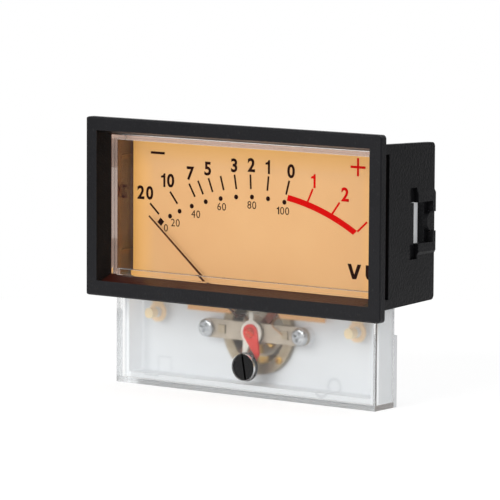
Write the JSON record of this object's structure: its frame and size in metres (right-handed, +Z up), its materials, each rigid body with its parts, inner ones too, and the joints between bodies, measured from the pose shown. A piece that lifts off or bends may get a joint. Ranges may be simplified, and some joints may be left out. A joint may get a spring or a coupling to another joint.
{
  "type": "analog panel meter",
  "caption": "Analog level meter head with a clear cover, amber backlit dial, needle and moving-coil movement, latched behind a black rectangular panel frame.",
  "frame": {"origin": "centre of the front flange's back face, which seats on the panel", "axes": "+X to the right of someone facing the dial, +Y to the rear through the panel, +Z up"},
  "size_m": [0.09, 0.0287, 0.0673],
  "materials": {
    "frame_black": "satin black moulded plastic",
    "cover_clear": "clear moulded polystyrene, polished",
    "base_white": "white moulded plastic, light grain",
    "dial_amber": "translucent amber sheet, matt, lit from behind",
    "ink_black": "screen-printed ink",
    "ink_red": "screen-printed ink",
    "bridge_metal": "stamped sheet, satin",
    "screw_plated": "zinc-plated",
    "yoke_iron": "nickel-plated soft iron",
    "movement_brass": "turned brass",
    "core_alloy": "ground magnet alloy",
    "former_aluminium": "thin drawn aluminium",
    "coil_copper": "enamelled copper wire",
    "pivot_steel": "polished",
    "pointer_brown": "dark painted aluminium",
    "spring_bronze": "phosphor bronze strip",
    "fork_white": "white enamel",
    "lever_red": "red enamel",
    "adjuster_black": "black moulded plastic",
    "lamp_glass": "small clear bulb",
    "grommet_rubber": "black rubber",
    "pin_tinned": "tinned brass",
    "lead_tan": "enamelled wire"
  },
  "bodies": {
    "case": {"front_frame": "frame_black", "clear_cover": "cover_clear", "rear_base": "base_white", "dial_plate": "dial_amber", "scale_black": "ink_black", "scale_red": "ink_red", "front_bridge": "bridge_metal", "bridge_screws": "screw_plated", "yoke_ring": "yoke_iron", "yoke_tenons": "yoke_iron", "shunt_screw": "movement_brass", "core_magnet": "core_alloy", "core_spacers": "movement_brass", "rear_bridge": "bridge_metal", "rear_bridge_screws": "screw_plated", "front_jewel_screw": "movement_brass", "rear_jewel_screw": "movement_brass", "rear_hairspring": "spring_bronze", "lamp_left": "lamp_glass", "lamp_right": "lamp_glass", "lamp_grommets": "grommet_rubber", "lamp_pins": "pin_tinned", "terminal_plus": "pin_tinned", "terminal_minus": "pin_tinned", "front_lead": "lead_tan", "rear_lead": "lead_tan"},
    "moving_coil": {"coil_former": "former_aluminium", "coil_winding": "coil_copper", "front_pivot": "pivot_steel", "rear_pivot": "pivot_steel", "pointer": "pointer_brown", "balance_weights": "movement_brass"},
    "zero_arm": {"zero_fork": "fork_white", "zero_lever": "lever_red", "front_hairspring": "spring_bronze"},
    "adjuster": {"zero_adjuster": "adjuster_black"}
  },
  "joints": [
    {"name": "needle_swing", "type": "hinge", "parent": "case", "child": "moving_coil", "pos_m": [0, 0.0153, -0.02935], "axis": [0, 1, 0], "range_deg": [-1.5, 102], "stiffness_Nm_per_rad": 0.000006},
    {"name": "zero_set", "type": "hinge", "parent": "case", "child": "adjuster", "pos_m": [0, 0.0046, -0.03765], "axis": [0, 1, 0], "range_deg": [-60, 60]},
    {"name": "zero_arm_turn", "type": "hinge", "parent": "case", "child": "zero_arm", "pos_m": [0, 0.0075, -0.02935], "axis": [0, 1, 0], "range_deg": [-5.2, 5.2]}
  ],
  "couplings": [
    {"joint": "zero_arm_turn", "follows": "zero_set", "ratio": 0.0855}
  ]
}
